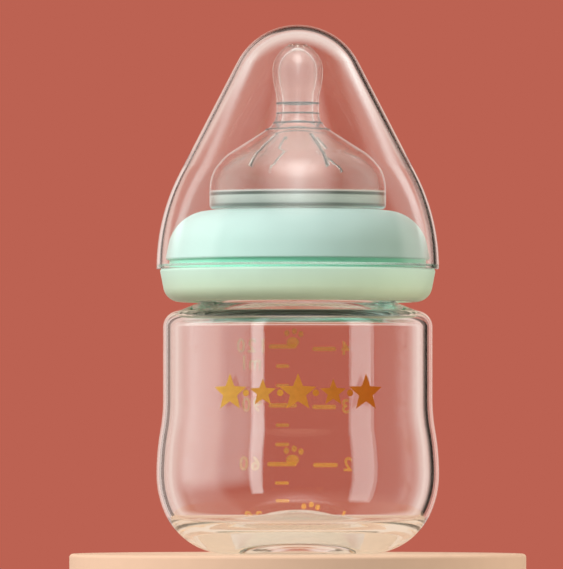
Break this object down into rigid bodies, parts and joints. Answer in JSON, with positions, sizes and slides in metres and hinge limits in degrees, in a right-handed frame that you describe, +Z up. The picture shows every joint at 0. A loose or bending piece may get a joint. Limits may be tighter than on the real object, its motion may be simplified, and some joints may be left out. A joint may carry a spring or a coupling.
{
  "type": "baby bottle",
  "caption": "Small wide-necked glass feeding bottle with a silicone teat, a two-tone screw collar and a clear domed cap that lifts off.",
  "frame": {"origin": "centre of the foot, on the bottle's axis, in the plane that it stands on", "axes": "+Z up along the bottle's axis; -Y is the front, the side that faces the viewer; the printed scale is on the back, +Y"},
  "size_m": [0.0644, 0.0644, 0.1204],
  "materials": {
    "clear_glass": "clear polished glass",
    "clear_silicone": "clear, slightly milky silicone",
    "mint_plastic": "satin mint green",
    "pale_green_plastic": "satin pale yellow-green",
    "clear_plastic": "clear polished plastic",
    "gold_print": "thin translucent gold ink on the glass"
  },
  "bodies": {
    "bottle": {"bottle_body": "clear_glass"},
    "teat": {"teat": "clear_silicone"},
    "collar": {"screw_collar": "mint_plastic", "collar_band": "pale_green_plastic"},
    "cap": {"dome_cap": "clear_plastic"}
  },
  "joints": [
    {"name": "collar_rise", "type": "slide", "parent": "bottle", "child": "teat", "axis": [0, 0, 1], "range_m": [0, 0.00675]},
    {"name": "collar_turn", "type": "hinge", "parent": "teat", "child": "collar", "pos_m": [0, 0, 0.0756], "axis": [0, 0, 1], "range_deg": [0, 540]},
    {"name": "cap_lift", "type": "slide", "parent": "collar", "child": "cap", "axis": [0, 0, 1], "range_m": [0, 0.055]}
  ],
  "couplings": [
    {"joint": "collar_rise", "follows": "collar_turn", "m_per_rad": 0.0007162}
  ]
}
